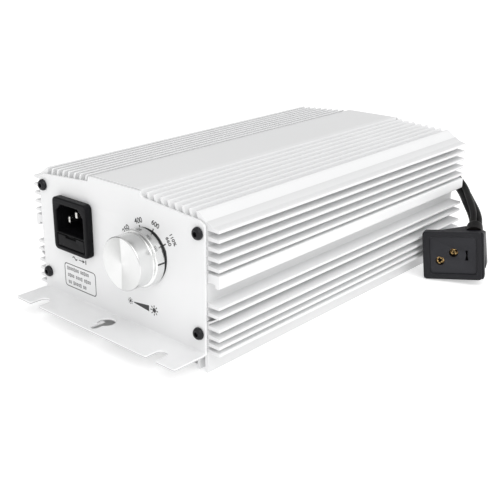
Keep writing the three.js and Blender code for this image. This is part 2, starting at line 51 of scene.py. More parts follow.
# ---- camera ----
def add_camera():
    azimuth, elevation, roll = (math.radians(a) for a in (44.08, 20.95, -0.47))
    back = Vector((
        math.sin(azimuth) * math.cos(elevation),
        -math.cos(azimuth) * math.cos(elevation),
        math.sin(elevation),
    ))
    right = (-back).cross(Vector((0, 0, 1))).normalized()
    up = right.cross(-back)
    rolled_right = right * math.cos(roll) + up * math.sin(roll)
    rolled_up = up * math.cos(roll) - right * math.sin(roll)
    place = Matrix((rolled_right, rolled_up, back)).transposed().to_4x4()
    place.translation = Vector((0.3509, -0.4173, 0.2224))
    data = bpy.data.cameras.new("camera")
    data.sensor_width = 36
    data.lens = 62.23
    data.shift_x = 0.0916
    data.shift_y = 0.013
    data.clip_start = 0.01
    camera = bpy.data.objects.new("camera", data)
    camera.matrix_world = place
    bpy.context.scene.collection.objects.link(camera)
    bpy.context.scene.camera = camera


add_camera()


# ---- materials ----
def node(tree, kind, **values):
    made = tree.nodes.new(kind)
    for key, value in values.items():
        if key in made.inputs:
            made.inputs[key].default_value = value
        else:
            setattr(made, key, value)
    return made


def noise(tree, vector, scale, detail=3.0, rough=0.55):
    made = node(tree, "ShaderNodeTexNoise")
    made.inputs["Scale"].default_value = scale
    made.inputs["Detail"].default_value = detail
    made.inputs["Roughness"].default_value = rough
    tree.links.new(vector, made.inputs["Vector"])
    return made.outputs["Fac"]


def remap(tree, value, low, high, from_low=0.3, from_high=0.7):
    made = node(tree, "ShaderNodeMapRange")
    made.inputs["From Min"].default_value = from_low
    made.inputs["From Max"].default_value = from_high
    made.inputs["To Min"].default_value = low
    made.inputs["To Max"].default_value = high
    tree.links.new(value, made.inputs["Value"])
    return made.outputs["Result"]


def mix_colour(tree, factor, first, second):
    made = node(tree, "ShaderNodeMix", data_type="RGBA")
    tree.links.new(factor, made.inputs["Factor"])
    for socket, value in ((made.inputs[6], first), (made.inputs[7], second)):
        if isinstance(value, bpy.types.NodeSocket):
            tree.links.new(value, socket)
        else:
            socket.default_value = (*value, 1)
    return made.outputs[2]


def shade(colour, factor):
    return tuple(min(1.0, c * factor) for c in colour)


def material(
    name,
    colour,
    rough,
    metallic=0.0,
    vary=0.05,
    blotch=45.0,
    grain=1500.0,
    bump=0.12,
    bump_depth=0.00008,
    worn=None,
    wear=0.25,
    stretch=(1, 1, 1),
    rough_vary=0.06,
    specular=0.5,
    coat=0.0,
):
    """A finish with slow colour variation, fine grain in its bump and gloss, and rubbed edges."""
    made = bpy.data.materials.new(name)
    made.use_nodes = True
    tree = made.node_tree
    shader = tree.nodes["Principled BSDF"]
    shader.inputs["Metallic"].default_value = metallic
    shader.inputs["Specular IOR Level"].default_value = specular
    shader.inputs["Coat Weight"].default_value = coat
    coords = node(tree, "ShaderNodeTexCoord")
    mapping = node(tree, "ShaderNodeMapping")
    mapping.inputs["Scale"].default_value = stretch
    tree.links.new(coords.outputs["Object"], mapping.inputs["Vector"])
    place = mapping.outputs["Vector"]
    slow = noise(tree, place, blotch)
    fine = noise(tree, place, grain, detail=4)
    tint = mix_colour(tree, remap(tree, slow, 0, 1), shade(colour, 1 - vary), shade(colour, 1 + vary))
    speckle = mix_colour(tree, remap(tree, fine, 0, vary * 2), tint, shade(colour, 0.5))
    edge = node(tree, "ShaderNodeNewGeometry")
    rubbed = remap(tree, edge.outputs["Pointiness"], 0, wear, 0.52, 0.62)
    final = mix_colour(tree, rubbed, speckle, worn or shade(colour, 1.25))
    tree.links.new(final, shader.inputs["Base Color"])
    gloss = remap(tree, fine, rough - rough_vary, rough + rough_vary)
    tree.links.new(gloss, shader.inputs["Roughness"])
    relief = node(tree, "ShaderNodeBump")
    relief.inputs["Strength"].default_value = bump
    relief.inputs["Distance"].default_value = bump_depth
    tree.links.new(fine, relief.inputs["Height"])
    tree.links.new(relief.outputs["Normal"], shader.inputs["Normal"])
    return made


def add_waves(made, scale, strength, depth):
    """Lays regular ridges under a finish's own grain, as on a winding."""
    tree = made.node_tree
    shader = tree.nodes["Principled BSDF"]
    coords = node(tree, "ShaderNodeTexCoord")
    wave = node(tree, "ShaderNodeTexWave", wave_type="BANDS", bands_direction="Z")
    wave.inputs["Scale"].default_value = scale
    tree.links.new(coords.outputs["Object"], wave.inputs["Vector"])
    relief = node(tree, "ShaderNodeBump")
    relief.inputs["Strength"].default_value = strength
    relief.inputs["Distance"].default_value = depth
    tree.links.new(wave.outputs["Fac"], relief.inputs["Height"])
    old = shader.inputs["Normal"].links[0].from_socket
    tree.links.new(old, relief.inputs["Normal"])
    tree.links.new(relief.outputs["Normal"], shader.inputs["Normal"])
    return made


def white_coat(name):
    return material(name, (0.84, 0.842, 0.846), 0.36, vary=0.012, blotch=18, grain=2600, bump=0.1,
                    bump_depth=0.00005, worn=(0.9, 0.9, 0.9), coat=0.15)


BLACK_PLASTIC = material("inlet_plastic", (0.006, 0.006, 0.007), 0.34, vary=0.15, grain=3200, bump=0.1,
                         bump_depth=0.00006, worn=(0.014, 0.014, 0.016), wear=0.4, specular=0.09)
BLACK_OXIDE = material("black_oxide", (0.007, 0.007, 0.009), 0.4, vary=0.2, grain=2500, bump=0.15,
                       bump_depth=0.00004, worn=(0.05, 0.05, 0.06), wear=0.5, specular=0.3)
NICKEL = material("nickel", (0.74, 0.73, 0.7), 0.25, metallic=1, vary=0.06, grain=2200,
                  bump=0.1, bump_depth=0.00003, stretch=(1, 0.1, 1))
STEEL = material("zinc_steel", (0.62, 0.62, 0.6), 0.32, metallic=1, vary=0.08, grain=1800,
                 bump=0.15, bump_depth=0.00003)
ALUMINIUM = material("plain_aluminium", (0.72, 0.72, 0.71), 0.4, metallic=1, vary=0.05, grain=1500,
                     bump=0.2, bump_depth=0.00004, stretch=(1, 0.05, 1))
GEAR_BLACK = material("moulded_black", (0.02, 0.02, 0.021), 0.5, vary=0.15, grain=2600, bump=0.2)
AMBER = material("insulation", (0.66, 0.4, 0.08), 0.35, vary=0.06, grain=900, bump=0.1)
FERRITE = material("ferrite", (0.05, 0.05, 0.055), 0.7, vary=0.25, grain=1800, bump=0.4)
SLEEVE = material("capacitor_sleeve", (0.02, 0.024, 0.04), 0.3, vary=0.1, grain=1200, bump=0.08)
FILM = material("film_block", (0.6, 0.42, 0.06), 0.4, vary=0.08, grain=1400, bump=0.15)
BOARD = material("board", (0.03, 0.14, 0.05), 0.35, vary=0.2, blotch=260, grain=1600, bump=0.2)
COPPER = add_waves(
    material("winding", (0.5, 0.2, 0.08), 0.3, metallic=0.7, vary=0.1, grain=1500, bump=0.1),
    420, 0.6, 0.0003)
GLASS = material("fuse_tube", (0.8, 0.85, 0.86), 0.08, vary=0.03, grain=700, bump=0.02,
                 rough_vary=0.02)
GLASS.node_tree.nodes["Principled BSDF"].inputs["Transmission Weight"].default_value = 0.9
WIRES = {
    "brown_wire": material("brown_wire", (0.16, 0.06, 0.02), 0.45, vary=0.1, grain=1600),
    "blue_wire": material("blue_wire", (0.03, 0.08, 0.35), 0.45, vary=0.1, grain=1600),
    "green_wire": material("green_wire", (0.06, 0.3, 0.06), 0.45, vary=0.1, grain=1600),
    "ribbon": material("ribbon", (0.35, 0.35, 0.36), 0.5, vary=0.1, grain=1400),
}
RUBBER = material("cord_jacket", (0.004, 0.0037, 0.0036), 0.38, vary=0.2, blotch=120, grain=2400,
                  bump=0.25, bump_depth=0.0001, worn=(0.022, 0.018, 0.017), wear=0.4, specular=0.13)
CHARCOAL = material("socket_plastic", (0.0075, 0.0076, 0.0102), 0.46, vary=0.12, blotch=90, grain=2800,
                    bump=0.3, bump_depth=0.0001, worn=(0.05, 0.05, 0.058), wear=0.4, specular=0.27)
BRASS = material("socket_brass", (0.3, 0.175, 0.06), 0.34, metallic=1, vary=0.3, blotch=900, grain=2600,
                 bump=0.2, bump_depth=0.00005, worn=(0.7, 0.5, 0.24), wear=0.5)
INK_AND_PAINTED_SHADOW = material("panel_ink_and_painted_shadow", (0.022, 0.022, 0.024), 0.5, vary=0.2, blotch=300, grain=4000, bump=0.1,
               bump_depth=0.00002, worn=(0.1, 0.1, 0.1))
GREY_INK = material("label_ink", (0.12, 0.12, 0.125), 0.5, vary=0.25, blotch=900, grain=4000, bump=0.1,
                    bump_depth=0.00002, worn=(0.25, 0.25, 0.25))


def tone_by(tree, value, stops, unit):
    """A grey tone that follows a value, from (value in units, tone) stops."""
    first, last = stops[0][0], stops[-1][0]
    place = remap(tree, value, 0, 1, first * unit, last * unit)
    made = node(tree, "ShaderNodeValToRGB")
    elements = made.color_ramp.elements
    for i, (at, tone) in enumerate(stops):
        where = (at - first) / (last - first)
        stop = elements[i] if i < 2 else elements.new(where)
        stop.position = where
        stop.color = (tone, tone, tone, 1)
    tree.links.new(place, made.inputs["Fac"])
    return made.outputs["Color"]


def multiply_colour(made, tone):
    tree = made.node_tree
    base = tree.nodes["Principled BSDF"].inputs["Base Color"]
    tinted = node(tree, "ShaderNodeMix", data_type="RGBA", blend_type="MULTIPLY")
    tinted.inputs["Factor"].default_value = 1
    tree.links.new(base.links[0].from_socket, tinted.inputs[6])
    tree.links.new(tone, tinted.inputs[7])
    tree.links.new(tinted.outputs[2], base)


def place_in_object(tree):
    """The place of a shaded point, split into its X, Y and Z."""
    coords = node(tree, "ShaderNodeTexCoord")
    split = node(tree, "ShaderNodeSeparateXYZ")
    tree.links.new(coords.outputs["Object"], split.inputs[0])
    return split


def arithmetic(tree, operation, first, second=None):
    made = node(tree, "ShaderNodeMath", operation=operation)
    for socket, value in zip(made.inputs, (first, second)):
        if isinstance(value, bpy.types.NodeSocket):
            tree.links.new(value, socket)
        elif value is not None:
            socket.default_value = value
    return made.outputs[0]


def add_painted_shade(made, axis, stops):
    """Paints shade into a finish: darkens it by its distance from the middle along one axis, from
    (millimetres, tone) stops.
    """
    tree = made.node_tree
    distance = arithmetic(tree, "ABSOLUTE", place_in_object(tree).outputs[axis])
    multiply_colour(made, tone_by(tree, distance, stops, MM))
    return made


def turned_aluminium():
    """Bright turned aluminium: fine rings, and a sheen that fans out from the axis, partly from its brushed
    gloss and partly a painted sheen of grey tones by angle about the axis.
    """
    made = material("turned_aluminium", (0.91, 0.915, 0.91), 0.22, metallic=1, vary=0.025, blotch=60,
                    grain=2600, bump=0.05, bump_depth=0.00002, worn=(0.95, 0.95, 0.95))
    tree = made.node_tree
    shader = tree.nodes["Principled BSDF"]
    shader.inputs["Anisotropic"].default_value = 0.6
    tangent = node(tree, "ShaderNodeTangent", direction_type="RADIAL", axis="Y")
    tree.links.new(tangent.outputs["Tangent"], shader.inputs["Tangent"])
    place = place_in_object(tree)
    across = arithmetic(tree, "SUBTRACT", place.outputs["X"], KNOB_AXIS[0] * MM)
    upward = arithmetic(tree, "SUBTRACT", place.outputs["Z"], KNOB_AXIS[1] * MM)
    angle = arithmetic(tree, "ARCTAN2", upward, across)
    face = tone_by(tree, angle, FACE_PAINTED_SHEEN, DEGREE)
    side = tone_by(tree, angle, SIDE_PAINTED_SHEEN, DEGREE)
    on_side = remap(tree, place.outputs["Y"], 0, 1, (KNOB_AXIS[2] + 0.3) * MM, (KNOB_AXIS[2] + 0.7) * MM)
    multiply_colour(made, mix_colour(tree, on_side, face, side))
    return made


# Painted shade: the walls between the side fins are darkened where shade falls between the fins, and the
# lower edge of each flange is darkened as a painted contact shadow.
PAINTED_SHADE_BETWEEN_FINS = ((68.7, 1.0), (68.9, 0.85), (73, 0.93), (77.4, 1.0))
PAINTED_SHADOW_AT_FLANGE_EDGE = ((10.6, 0.6), (11.1, 0.66), (11.4, 1.0))
FINNED_COAT_PAINTED_SHADE = add_painted_shade(white_coat("finned_coat_painted_shade"), "X", PAINTED_SHADE_BETWEEN_FINS)
PLATE_COAT_PAINTED_SHADOW = add_painted_shade(white_coat("plate_coat_painted_shadow"), "Z", PAINTED_SHADOW_AT_FLANGE_EDGE)
# The knob's axis in X and Z, and the Y of its face.
KNOB_LOW, KNOB_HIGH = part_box("dimmer_knob")
KNOB_AXIS = [(KNOB_LOW[axis] + KNOB_HIGH[axis]) / 2 / MM for axis in (0, 2)] + [KNOB_LOW[1] / MM]
# Painted sheen on the knob: grey tones by angle about its axis stand in for reflections on its face and on
# its side.
FACE_PAINTED_SHEEN = ((-180, 0.85), (-130, 0.88), (-93, 0.87), (-89, 0.66), (-50, 0.76), (-10, 0.82), (40, 0.85),
              (80, 0.9), (89, 0.89), (93, 0.6), (130, 0.72), (165, 0.83), (180, 0.85))
SIDE_PAINTED_SHEEN = ((-180, 0.98), (-120, 0.94), (-60, 0.92), (-12, 0.95), (0, 1.0), (36, 1.0), (44, 0.76),
              (62, 0.62), (86, 0.68), (98, 0.9), (112, 0.76), (150, 0.9), (180, 0.98))
SPUN = turned_aluminium()


# ---- mesh building ----
def rounded(points, steps=2):
    """Outline of (x, y, radius) corners with each corner rounded off."""
    made = []
    count = len(points)
    for i, (x, y, radius) in enumerate(points):
        here = Vector((x, y))
        before = Vector(points[i - 1][:2]) - here
        after = Vector(points[(i + 1) % count][:2]) - here
        if radius <= 0:
            made.append((x, y))
            continue
        half = before.angle(after, math.pi) / 2
        reach = radius / max(math.tan(half), 0.05)
        reach = min(reach, 0.45 * before.length, 0.45 * after.length)
        start = here + before.normalized() * reach
        end = here + after.normalized() * reach
        for k in range(steps + 1):
            t = k / steps
            point = start * (1 - t) ** 2 + here * (2 * t * (1 - t)) + end * t**2
            made.append((point.x, point.y))
    return made


def rectangle(x0, x1, y0, y1, radius, steps=5):
    corners = [(x0, y0, radius), (x1, y0, radius), (x1, y1, radius), (x0, y1, radius)]
    return rounded(corners, steps)


def circle(x, y, radius, sides=32):
    turns = (2 * math.pi * i / sides for i in range(sides))
    return [(x + radius * math.cos(a), y + radius * math.sin(a)) for a in turns]


def offset(points, distance):
    """The outline moved to the left of its own direction by distance."""
    made = []
    for i, point in enumerate(points):
        here = Vector(point)
        d0 = (here - Vector(points[i - 1])).normalized()
        d1 = (Vector(points[(i + 1) % len(points)]) - here).normalized()
        n0 = Vector((-d0.y, d0.x))
        n1 = Vector((-d1.y, d1.x))
        moved = here + (n0 + n1) * (distance / max(1 + n0.dot(n1), 0.4))
        made.append((moved.x, moved.y))
    return made


def area(points):
    pairs = zip(points, points[1:] + points[:1])
    return sum(a[0] * b[1] - b[0] * a[1] for a, b in pairs) / 2


def prism(outer, holes, w0, w1, place, bevels=(0, 0)):
    """Closed solid of an outline with holes between w0 and w1, its end edges rounded by bevels."""
    loops = [outer if area(outer) > 0 else outer[::-1]]
    loops += [hole if area(hole) < 0 else hole[::-1] for hole in holes]
    round_off = [(1.0, 0.0), (0.293, 0.293), (0.0, 1.0)]
    rings = []
    for b, w, sign in ((bevels[0], w0, 1), (bevels[1], w1, -1)):
        steps = [(b * inset, w + sign * abs(b) * deep) for inset, deep in round_off] if b else [(0, w)]
        rings.extend(steps if sign > 0 else steps[::-1])
    verts = []
    faces = []
    total = sum(len(loop) for loop in loops)
    for inset, w in rings:
        for loop in loops:
            moved = offset(loop, inset) if inset else loop
            verts.extend(place(u, v, w) for u, v in moved)
    for k in range(len(rings) - 1):
        start = 0
        for loop in loops:
            n = len(loop)
            for i in range(n):
                a = k * total + start + i
                b = k * total + start + (i + 1) % n
                faces.append((a, b, b + total, a + total))
            start += n
    flat = [[Vector((u, v, 0)) for u, v in (offset(loop, rings[0][0]) if rings[0][0] else loop)]
            for loop in loops]
    cap = tessellate_polygon(flat)
    last = (len(rings) - 1) * total
    faces.extend(tuple(reversed(triangle)) for triangle in cap)
    faces.extend(tuple(i + last for i in triangle) for triangle in cap)
    return verts, faces


def hexagon_radius(flat, turn):
    return flat / math.cos((turn + math.pi / 6) % (math.pi / 3) - math.pi / 6)


def lathe(profile, place, sides=48, closed=False):
    """Turned solid: profile entries are (radius, w), or (half width, w, "hex") for a hexagon ring."""
    verts = []
    rows = []
    for entry in profile:
        radius, w = entry[:2]
        if radius == 0:
            rows.append([len(verts)])
            verts.append(place(0, 0, w))
            continue
        row = []
        for i in range(sides):
            turn = 2 * math.pi * i / sides
            reach = hexagon_radius(radius, turn) if len(entry) > 2 else radius
            row.append(len(verts))
            verts.append(place(reach * math.cos(turn), reach * math.sin(turn), w))
        rows.append(row)
    faces = []
    pairs = list(zip(rows, rows[1:]))
    if closed:
        pairs.append((rows[-1], rows[0]))
    for first, second in pairs:
        for i in range(sides):
            j = (i + 1) % sides
            quad = [first[i % len(first)], first[j % len(first)], second[j % len(second)],
                    second[i % len(second)]]
            faces.append(tuple(dict.fromkeys(quad)))
    return verts, [face for face in faces if len(face) > 2]


def combine(*solids):
    verts = []
    faces = []
    for more_verts, more_faces in solids:
        faces.extend(tuple(i + len(verts) for i in face) for face in more_faces)
        verts.extend(more_verts)
    return verts, faces


def smooth(made, angle=50.0):
    for polygon in made.data.polygons:
        polygon.use_smooth = True
    made.data.set_sharp_from_angle(angle=math.radians(angle))
    weighted = made.modifiers.new("weighted", "WEIGHTED_NORMAL")
    weighted.keep_sharp = True
    return made


def piece(name, solid, finish, body="case", nodes=(), angle=50.0):
    """A piece in the row frame from millimetre vertices, riding on a body."""
    verts, faces = solid
    mesh = bpy.data.meshes.new(name)
    mesh.from_pydata([Vector(v) * MM for v in verts], [], faces)
    bm = bmesh.new()
    bm.from_mesh(mesh)
    bmesh.ops.remove_doubles(bm, verts=bm.verts, dist=1e-7)
    bmesh.ops.recalc_face_normals(bm, faces=bm.faces)
    bm.to_mesh(mesh)
    bm.free()
    made = bpy.data.objects.new(name, mesh)
    bpy.context.scene.collection.objects.link(made)
    made.data.materials.append(finish)
    smooth(made, angle)
    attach(made, body)
    if nodes:
        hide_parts(*nodes)
    return made


def carve(made, *cutters):
    """Cuts closed solids out of a piece and keeps its finish."""
    for i, solid in enumerate(cutters):
        tool = piece(f"cutter_{i}", solid, made.data.materials[0])
        cut = made.modifiers.new("cut", "BOOLEAN")
        cut.operation = "DIFFERENCE"
        cut.solver = "EXACT"
        cut.object = tool
        made.modifiers.move(len(made.modifiers) - 1, 0)
        bpy.context.view_layer.update()
        evaluated = made.evaluated_get(bpy.context.evaluated_depsgraph_get())
        mesh = bpy.data.meshes.new_from_object(evaluated)
        made.modifiers.clear()
        made.data = mesh
        smooth(made)
        bpy.data.objects.remove(tool)
    return made


def along_y(u, v, w):
    return (u, w, v)


def up_z(u, v, w):
    return (u, v, w)


# ---- shared measures, in millimetres; where the CAD says, they are read from it ----
def low(name, axis):
    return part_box(name)[0][axis] / MM


def high(name, axis):
    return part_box(name)[1][axis] / MM


GAP = 0.3
HALF_LENGTH = high("upper_shell", 1)
TIP_X = high("upper_shell", 0)
TOP_Z = high("upper_shell", 2)
WALL_X = high("front_plate", 0)
FLANGE_REACH = 22.9
PLATE_FRONT = high("rear_plate", 1) - FLANGE_REACH
PLATE_THICKNESS = 1.5
PLATE_LOW_Z = low("front_plate", 2)
BASE_LOW_Z = 10.9
BASE_TOP_Z = 13.2
SPLIT_Z = 30.3
INNER_X = 65.8
LIP_X = 67.6
STEP_X = 61.1
SCREW_X = 64.7
SCREW_Z = {"upper": 78.5, "lower": 23}


# ---- the extruded case ----
def fin(low_z):
    return [(WALL_X, low_z + 0.1, 0.7), (TIP_X, low_z, 0.75), (TIP_X, low_z + 1.8, 0.75),
            (WALL_X, low_z + 2.3, 0.7)]


def mirrored(points):
    return [(-x, z, radius) for x, z, radius in reversed(points)]


RAIL = [
    (WALL_X, 52.4, 0.8), (TIP_X - 3.1, 52.6, 0.9), (TIP_X - 2.9, 50.4, 0.7), (TIP_X, 50.4, 0.9),
    (TIP_X, 57.6, 1.0), (WALL_X, 57.4, 0.8),
]
SHOULDER = [
    (WALL_X, 80.6, 0.8), (TIP_X, 80.2, 0.8), (TIP_X - 0.3, 82.0, 0.8), (73.1, 82.7, 2.0),
    (68.7, 85.1, 2.5), (64.2, 88.4, 1.5), (62.9, 89.2, 0.5),
]
PANEL_EDGE_X = 16.5
ROOF_FALL = 0.065
ROOF_THICKNESS = 9.6
GROOVE_COUNT = 8
FIRST_GROOVE_X = 22.74
GROOVE_PITCH = 5.26
GROOVE_DEPTH = 7.0
GROOVE_LEAN = 0.29


def roof_z(x):
    return TOP_Z - ROOF_FALL * (x - PANEL_EDGE_X)


def roof_grooves():
    """Grooves that lean outwards as they go down, from the outermost inwards."""
    points = []
    for i in reversed(range(GROOVE_COUNT)):
        x = FIRST_GROOVE_X + i * GROOVE_PITCH
        floor_x = x + GROOVE_LEAN * GROOVE_DEPTH
        floor_z = roof_z(x) - GROOVE_DEPTH
        lip_z = roof_z(x) - 0.6
        points += [
            (x + 2.1, roof_z(x + 2.1), 0.45), (x + 1.92, lip_z, 0.4), (floor_x + 1.7, floor_z, 0.8),
            (floor_x - 1.7, floor_z, 0.8), (x - 1.78, lip_z, 0.4), (x - 2.1, roof_z(x - 2.1), 0.45),
        ]
    points.append((PANEL_EDGE_X, TOP_Z, 3.0))
    return points


def upper_outline():
    outside = [(LIP_X, SPLIT_Z + GAP, 0.2), (WALL_X, SPLIT_Z + GAP, 0.3)]
    for part in (fin(33.5), fin(38.7), RAIL, fin(59.4), fin(64.65), fin(69.95), fin(75.15), SHOULDER):
        outside += part
    outside += roof_grooves()
    inside = [
        (18, TOP_Z - 3.2, 1), (20.2, roof_z(20.2) - ROOF_THICKNESS, 1),
        (STEP_X, roof_z(STEP_X) - ROOF_THICKNESS, 1), (STEP_X, 74.9, 0.5), (INNER_X, 74.9, 0.5),
        (INNER_X, SPLIT_Z + 4.1, 0.2), (LIP_X, SPLIT_Z + 4.1, 0.2),
    ]
    return outside + mirrored(outside) + mirrored(inside) + inside


def lower_outline():
    skirt = [
        (61.2, BASE_LOW_Z, 0.5), (61.2, 0, 0.9), (63, 0, 0.6), (63, BASE_LOW_Z, 0.5),
        (66.9, BASE_LOW_Z, 0.5), (66.9, 0, 0.7), (WALL_X, 0, 0.7),
    ]
    outside = list(skirt)
    for part in (fin(12.2), fin(16.2), fin(20.7), fin(26.1)):
        outside += part
    tongue = LIP_X - GAP
    outside += [(WALL_X, 28.5, 0.3), (75.1, 32.5, 0.4), (74.7, 33.15, 0.4), (69.6, SPLIT_Z, 0.6),
                (tongue, SPLIT_Z, 0.2), (tongue, SPLIT_Z + 3.8, 0.4), (INNER_X, SPLIT_Z + 3.8, 0.4)]
    inside = [
        (INNER_X, 26.7, 0.5), (STEP_X, 26.7, 0.5), (STEP_X, 18.6, 0.5), (INNER_X, 18.6, 0.5),
        (INNER_X, 16.2, 0.3), (63.2, 16.2, 0.2), (63.2, 15, 0.2), (INNER_X, 15, 0.3),
        (INNER_X - 1.4, BASE_TOP_Z, 0.5),
    ]
    right = outside + inside
    return right + mirrored(right)


def add_case():
    saw = (0.18, 0.18)
    for name, outline in (("upper", upper_outline()), ("lower", lower_outline())):
        ports = [circle(x, SCREW_Z[name], 2.05, 16) for x in (-SCREW_X, SCREW_X)]
        solid = prism(rounded(outline), ports, -HALF_LENGTH, HALF_LENGTH, along_y, saw)
        # The case's finish carries painted shade on the walls between its side fins.
        piece(f"{name}_case", solid, FINNED_COAT_PAINTED_SHADE, nodes=[f"{name}_shell"])


# ---- the folded end plates ----
BEND_OUTER = 2.5
BEND_MIDDLE = BEND_OUTER - PLATE_THICKNESS / 2
FLAT_REACH = FLANGE_REACH + PLATE_THICKNESS - BEND_OUTER
ARC = BEND_MIDDLE * math.pi / 2
PLATE_TIP = PLATE_FRONT + FLANGE_REACH
SLOT_X = 51
SLOT_HALF = 3.75
SLOT_DEPTH = 10.9


def sheet_v(z):
    """Where a height on the upright face lies along the flat sheet."""
    return FLAT_REACH + ARC + z - PLATE_LOW_Z - BEND_OUTER


def fold_up(x, v, w):
    """Folds the flat sheet: w runs from its outer side to the side that carries the controls."""
    if v <= FLAT_REACH:
        return (x, v - PLATE_TIP, PLATE_LOW_Z + w)
    corner_y = FLAT_REACH - PLATE_TIP
    corner_z = PLATE_LOW_Z + BEND_OUTER
    if v < FLAT_REACH + ARC:
        turn = (v - FLAT_REACH) / BEND_MIDDLE
        reach = BEND_OUTER - w
        return (x, corner_y + reach * math.sin(turn), corner_z - reach * math.cos(turn))
    return (x, corner_y + BEND_OUTER - w, corner_z + v - FLAT_REACH - ARC)


def sheet_outline():
    notches = []
    for x in (-SLOT_X, SLOT_X):
        end = SLOT_DEPTH - SLOT_HALF
        notches += [(x - SLOT_HALF, 0, 0.7), (x - SLOT_HALF, end, 0)]
        notches += [(x - SLOT_HALF * math.cos(a), end + SLOT_HALF * math.sin(a), 0)
                    for a in (math.pi * k / 12 for k in range(1, 12))]
        notches += [(x + SLOT_HALF, end, 0), (x + SLOT_HALF, 0, 0.7)]
    right = [(WALL_X, 0, 1.4), (WALL_X, sheet_v(82.6), 0.5), (68.2, sheet_v(83.7), 0.5),
             (64.4, sheet_v(85.3), 2), (24.2, sheet_v(88.3), 0.5), (22.6, sheet_v(88.6), 0.6),
             (21.6, sheet_v(91.7), 0.5)]
    left = [(-x, v, radius) for x, v, radius in reversed(right)]
    return rounded([left[-1]] + notches + right + left[:-1], 4)


def keyhole():
    centre, radius, half, tail_end = 13.4, 5.2, 2.35, 4.6
    turns = [math.pi + math.pi * k / 8 for k in range(9)]
    points = [(half * math.cos(a), tail_end + half * math.sin(a)) for a in turns]
    start = math.asin(half / radius) - math.pi / 2
    sweep = 2 * math.pi - 2 * math.asin(half / radius)
    turns = [start + sweep * k / 28 for k in range(29)]
    return points + [(radius * math.cos(a), centre + radius * math.sin(a)) for a in turns]


def end_plate(name, openings, turn, node_name):
    holes = [keyhole()]
    for x in (-SCREW_X, SCREW_X):
        openings = openings + [circle(x, z, 2.15, 16) for z in SCREW_Z.values()]
    holes += [[(x, sheet_v(z)) for x, z in hole] for hole in openings]
    verts, faces = prism(sheet_outline(), holes, 0, PLATE_THICKNESS, up_z, (0.22, 0.3))
    bm = bmesh.new()
    made = [bm.verts.new(v) for v in verts]
    bm.verts.index_update()
    for face in faces:
        bm.faces.new([made[i] for i in face])
    bends = 10
    for k in range(bends + 1):
        everything = bm.verts[:] + bm.edges[:] + bm.faces[:]
        at = Vector((0, FLAT_REACH + ARC * k / bends, 0))
        bmesh.ops.bisect_plane(bm, geom=everything, dist=1e-5, plane_co=at, plane_no=Vector((0, 1, 0)))
    bm.verts.index_update()
    flip = -1 if turn else 1
    folded = []
    for vert in bm.verts:
        x, y, z = fold_up(*vert.co)
        folded.append((flip * x, flip * y, z))
    flat_faces = [tuple(v.index for v in face.verts) for face in bm.faces]
    bm.free()
    # The plate's finish carries a painted contact shadow along the lower edge of its flange.
    piece(name, (folded, flat_faces), PLATE_COAT_PAINTED_SHADOW, nodes=[node_name])


def add_end_plates():
    inlet_hole = rectangle(INLET_X - 13.8, INLET_X + 13.8, INLET_Z - 14.9, INLET_Z + 14.9, 0.5)
    end_plate("front_end_plate", [inlet_hole, circle(KNOB_X, KNOB_Z, 4.9)], False, "front_plate")
    end_plate("rear_end_plate", [circle(-GLAND_X, GLAND_Z, 6.4)], True, "rear_plate")


def plate_screw(name):
    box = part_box(name)
    x, z = ((box[0][i] + box[1][i]) / 2 / MM for i in (0, 2))
    flip = 1 if "front" in name else -1
    seat = PLATE_FRONT + GAP

    def place(u, v, w):
        return (x + u, -flip * (seat + w), z + v)

    profile = [
        (0, 1.1), (1.25, 1.1, "hex"), (1.32, 2.35, "hex"), (1.62, 2.46), (2.0, 2.4), (2.5, 2.2),
        (2.95, 1.8), (3.3, 1.2), (3.46, 0.6), (3.5, 0.25), (3.42, 0.04), (3.2, 0), (1.75, 0),
        (1.75, -11.5), (1.3, -12), (0, -12),
    ]
    short = name.replace("_screw_", "_cap_screw_")
    piece(short, lathe(profile, place), BLACK_OXIDE, nodes=[name], angle=40)


# ---- mains inlet with its fuse drawer ----
def middle(name, axis):
    return (low(name, axis) + high(name, axis)) / 2


INLET_X = middle("inlet_body", 0)
INLET_Z = middle("inlet_body", 2)
KNOB_X = middle("dimmer_knob", 0)
KNOB_Z = middle("dimmer_knob", 2)
GLAND_X = middle("cord_gland", 0)
GLAND_Z = middle("cord_gland", 2)
BEZEL_FRONT = low("inlet_body", 1)
CAVITY_LOW = INLET_Z - 4.6
CAVITY_TOP = CAVITY_LOW + 17
CAVITY_BACK = BEZEL_FRONT + 17
BAY_LOW = INLET_Z - 13.6
BAY_TOP = CAVITY_LOW - 1.1


